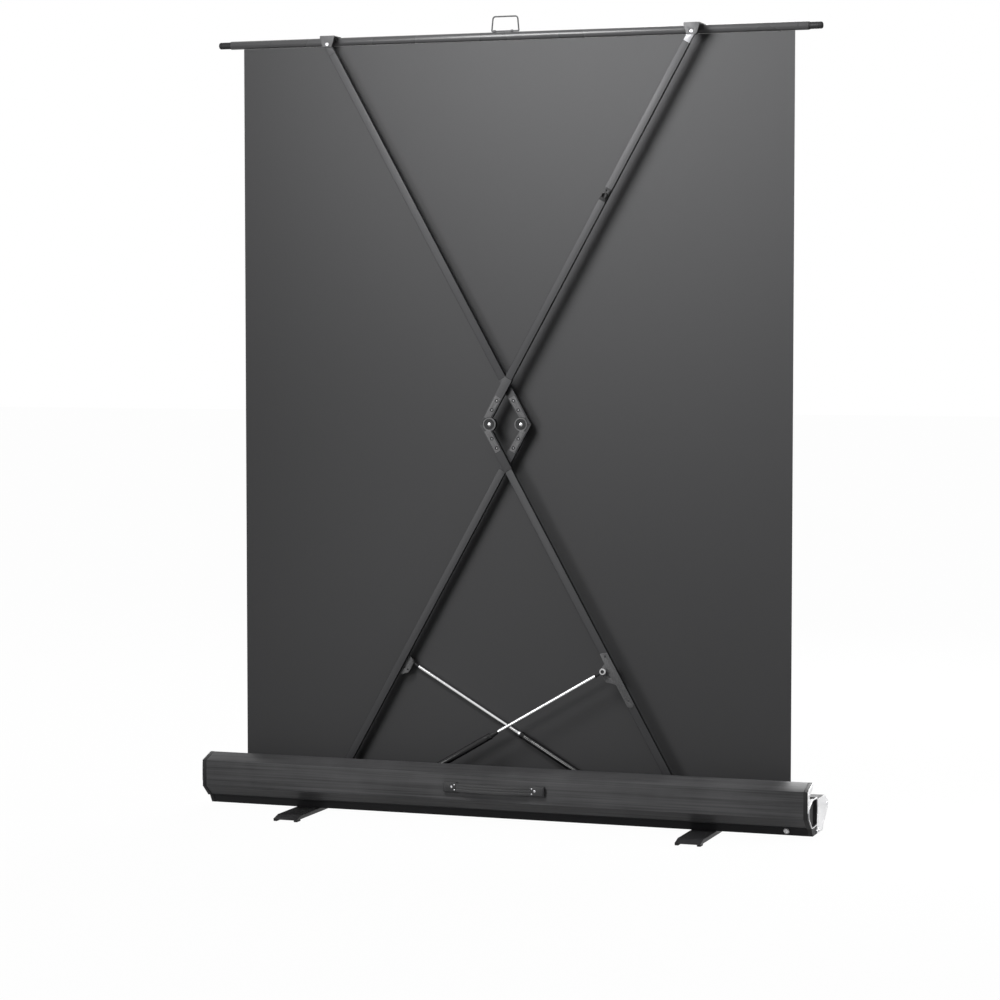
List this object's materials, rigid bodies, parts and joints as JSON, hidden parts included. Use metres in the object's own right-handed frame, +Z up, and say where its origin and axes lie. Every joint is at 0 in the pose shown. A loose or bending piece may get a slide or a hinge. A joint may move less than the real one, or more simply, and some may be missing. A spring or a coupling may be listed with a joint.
{
  "type": "pull-up projection screen",
  "caption": "Floor-standing pull-up projection screen: cloth rolled in a long bevelled case, raised by crossed folding arms with gas struts, with a round top bar and swivelling feet.",
  "frame": {"origin": "on the floor, under the middle of the case", "axes": "+X along the case, +Y the way the picture side faces, +Z up"},
  "size_m": [1.388, 0.352, 1.753],
  "materials": {
    "case_paint": "fine brushed satin dark grey",
    "rail_aluminium": "black anodised",
    "frame_paint": "satin black powder coat",
    "cylinder_paint": "semi-gloss black",
    "black_plastic": "fine grain",
    "silver_plate": "satin",
    "bright_steel": "zinc plated",
    "rod_chrome": "polished",
    "cloth": "black back coating",
    "rubber_pad": "matt"
  },
  "bodies": {
    "case": {"base_rail": "rail_aluminium", "rear_casing": "case_paint", "front_casing": "case_paint", "end_cap_left": "black_plastic", "end_cap_right": "black_plastic", "end_plate_left": "silver_plate", "end_plate_right": "silver_plate", "case_screws": "bright_steel", "arm_brackets": "frame_paint", "strut_brackets": "frame_paint", "base_pins": "bright_steel", "roller_bracket_left": "frame_paint", "roller_bracket_right": "frame_paint", "roller_axle": "bright_steel", "roller_spring": "bright_steel", "carry_strap": "black_plastic", "handle_blocks": "black_plastic", "foot_bolts": "bright_steel", "screen_fabric": "cloth"},
    "roller": {"roller_tube": "silver_plate", "roller_plug_left": "black_plastic", "roller_plug_right": "black_plastic", "fabric_wrap": "cloth"},
    "lower_leg_a": {"lower_arm_a": "frame_paint", "base_eye_a": "frame_paint", "lower_knuckle_a": "frame_paint", "strut_plate_a": "frame_paint", "lower_screws_a": "bright_steel", "knee_pin_a": "bright_steel"},
    "upper_leg_a": {"upper_arm_a": "frame_paint", "upper_knuckle_a": "frame_paint", "top_eye_a": "bright_steel", "upper_screws_a": "bright_steel", "catch_a": "black_plastic"},
    "gas_cylinder_a": {"strut_cylinder_a": "cylinder_paint"},
    "gas_rod_a": {"strut_rod_a": "rod_chrome"},
    "lower_leg_b": {"lower_arm_b": "frame_paint", "base_eye_b": "frame_paint", "lower_knuckle_b": "frame_paint", "strut_plate_b": "frame_paint", "lower_screws_b": "bright_steel", "knee_pin_b": "bright_steel"},
    "upper_leg_b": {"upper_arm_b": "frame_paint", "upper_knuckle_b": "frame_paint", "top_eye_b": "bright_steel", "upper_screws_b": "bright_steel", "catch_b": "black_plastic"},
    "gas_cylinder_b": {"strut_cylinder_b": "cylinder_paint"},
    "gas_rod_b": {"strut_rod_b": "rod_chrome"},
    "bar": {"top_bar": "frame_paint", "bar_plugs": "black_plastic", "bar_saddle_left": "frame_paint", "bar_saddle_right": "frame_paint", "saddle_pins": "bright_steel", "bail_clip": "frame_paint"},
    "bail": {"pull_bail": "frame_paint"},
    "swivel_foot_left": {"foot_left": "rail_aluminium", "foot_pads_left": "rubber_pad"},
    "swivel_foot_right": {"foot_right": "rail_aluminium", "foot_pads_right": "rubber_pad"}
  },
  "joints": [
    {"name": "frame_fold", "type": "hinge", "parent": "case", "child": "lower_leg_a", "pos_m": [-0.417, -0.01, 0.038], "axis": [0, 1, 0], "range_deg": [0, 59.33], "deforming": ["screen_fabric"]},
    {"name": "knee_a", "type": "hinge", "parent": "lower_leg_a", "child": "upper_leg_a", "pos_m": [0.034, -0.01, 0.86957], "axis": [0, 1, 0], "range_deg": [-119.15, 0]},
    {"name": "bar_pivot_a", "type": "hinge", "parent": "upper_leg_a", "child": "bar", "pos_m": [-0.417, -0.01, 1.70115], "axis": [0, 1, 0], "range_deg": [0, 59.83]},
    {"name": "lower_fold_b", "type": "hinge", "parent": "case", "child": "lower_leg_b", "pos_m": [0.417, -0.0225, 0.038], "axis": [0, 1, 0], "range_deg": [-59.83, 0]},
    {"name": "knee_b", "type": "hinge", "parent": "lower_leg_b", "child": "upper_leg_b", "pos_m": [-0.034, -0.0225, 0.86957], "axis": [0, 1, 0], "range_deg": [0, 119.15]},
    {"name": "strut_swing_a", "type": "hinge", "parent": "case", "child": "gas_cylinder_a", "pos_m": [0.3, 0.005, 0.03], "axis": [0, 1, 0], "range_deg": [-31.02, 0]},
    {"name": "strut_slide_a", "type": "slide", "parent": "gas_cylinder_a", "child": "gas_rod_a", "axis": [0.8614, 0, -0.508], "range_m": [0, 0.2552]},
    {"name": "strut_swing_b", "type": "hinge", "parent": "case", "child": "gas_cylinder_b", "pos_m": [-0.3, -0.0375, 0.03], "axis": [0, 1, 0], "range_deg": [0, 31.02]},
    {"name": "strut_slide_b", "type": "slide", "parent": "gas_cylinder_b", "child": "gas_rod_b", "axis": [-0.8614, 0, -0.508], "range_m": [0, 0.2552]},
    {"name": "roller_spin", "type": "hinge", "parent": "case", "child": "roller", "pos_m": [0, 0.0379, 0.0575], "axis": [1, 0, 0], "range_deg": [0, 3802]},
    {"name": "foot_swivel_left", "type": "hinge", "parent": "case", "child": "swivel_foot_left", "pos_m": [-0.456, 0, 0.0107], "axis": [0, 0, 1], "range_deg": [0, 90]},
    {"name": "foot_swivel_right", "type": "hinge", "parent": "case", "child": "swivel_foot_right", "pos_m": [0.456, 0, 0.0107], "axis": [0, 0, -1], "range_deg": [0, 90]},
    {"name": "bail_hinge", "type": "hinge", "parent": "bar", "child": "bail", "pos_m": [-0.012, 0.015, 1.71985], "axis": [1, 0, 0], "range_deg": [-80, 80]}
  ],
  "couplings": [
    {"joint": "knee_a", "follows": "frame_fold", "ratio": -2},
    {"joint": "bar_pivot_a", "follows": "frame_fold", "ratio": 1},
    {"joint": "lower_fold_b", "follows": "frame_fold", "ratio": -1},
    {"joint": "knee_b", "follows": "frame_fold", "ratio": 2},
    {"joint": "strut_swing_a", "follows": "frame_fold", "ratio": -0.51441},
    {"joint": "strut_slide_a", "follows": "frame_fold", "m_per_rad": 0.2445},
    {"joint": "strut_swing_b", "follows": "frame_fold", "ratio": 0.51441},
    {"joint": "strut_slide_b", "follows": "frame_fold", "m_per_rad": 0.2445},
    {"joint": "roller_spin", "follows": "frame_fold", "ratio": 64}
  ]
}
